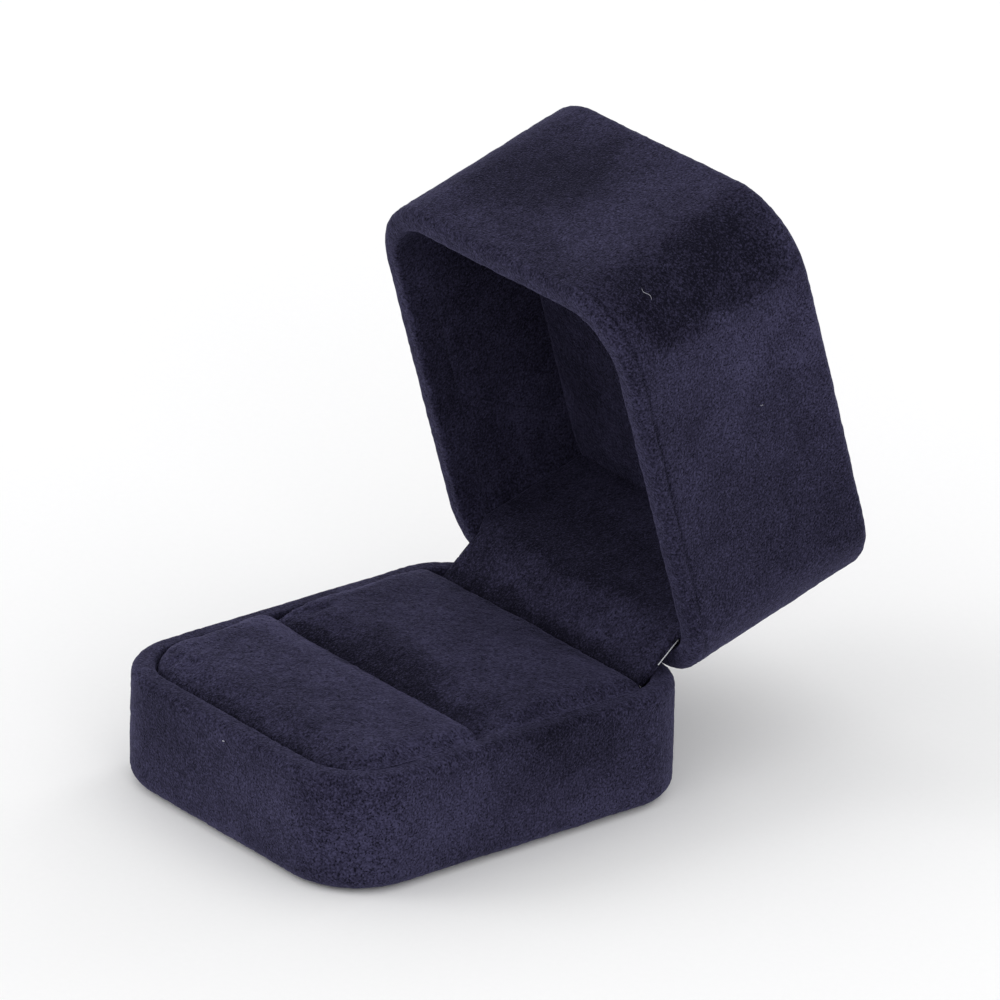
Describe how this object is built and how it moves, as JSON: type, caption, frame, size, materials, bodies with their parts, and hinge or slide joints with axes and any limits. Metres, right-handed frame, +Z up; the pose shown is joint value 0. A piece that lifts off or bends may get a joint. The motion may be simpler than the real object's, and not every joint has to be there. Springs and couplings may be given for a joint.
{
  "type": "ring box",
  "caption": "Velvet-covered ring box with a tall rounded lid on a sprung double-pin hinge and two padded rolls that grip a ring between them.",
  "frame": {"origin": "centre of the underside of the base, on the surface that the box stands on", "axes": "+X to the right along the hinge pins, +Y towards the hinge side, +Z up; stored with the lid open"},
  "size_m": [0.06, 0.1015, 0.0913],
  "materials": {
    "velvet": "dark navy velvet with a short pile",
    "felt": "dark navy pressed felt",
    "foam": "off-white open-cell foam",
    "moulded_shell": "dark moulded polystyrene",
    "greyboard": "grey pulp board",
    "white_card": "pale grey-white pulp card",
    "plated_steel": "nickel-plated pressed steel",
    "spring_steel": "plain bright spring steel"
  },
  "bodies": {
    "base": {"base_shell": "moulded_shell", "base_wrap": "velvet", "base_wall_liner": "velvet", "base_underside_board": "greyboard", "base_underside_felt": "felt", "insert_riser": "greyboard", "insert_board": "greyboard", "front_pad_foam": "foam", "front_pad_cover": "velvet", "rear_pad_foam": "foam", "rear_pad_cover": "velvet", "hinge_cover_tail": "velvet", "hinge_base_leaf": "plated_steel", "hinge_base_rivets": "plated_steel", "hinge_base_pin": "plated_steel"},
    "bow": {"hinge_bow_spring": "spring_steel", "hinge_cover_card": "white_card", "hinge_cover_velvet": "velvet"},
    "lid": {"lid_shell": "moulded_shell", "lid_wrap": "velvet", "lid_wall_liner": "velvet", "lid_rear_card": "greyboard", "lid_rear_velvet": "velvet", "lid_panel_board": "greyboard", "lid_panel_foam": "foam", "lid_panel_velvet": "velvet", "lid_spacer_frame": "greyboard", "hinge_lid_leaf": "plated_steel", "hinge_lid_rivets": "plated_steel", "hinge_lid_pin": "plated_steel"}
  },
  "joints": [
    {"name": "bow_swing", "type": "hinge", "parent": "base", "child": "bow", "pos_m": [0, 0.0316, 0.0153], "axis": [1, 0, 0], "range_deg": [0, 50]},
    {"name": "lid_swing", "type": "hinge", "parent": "bow", "child": "lid", "pos_m": [0, 0.03712, 0.01993], "axis": [1, 0, 0], "range_deg": [0, 23.5]}
  ],
  "couplings": [
    {"joint": "lid_swing", "follows": "bow_swing", "ratio": 0.47}
  ]
}
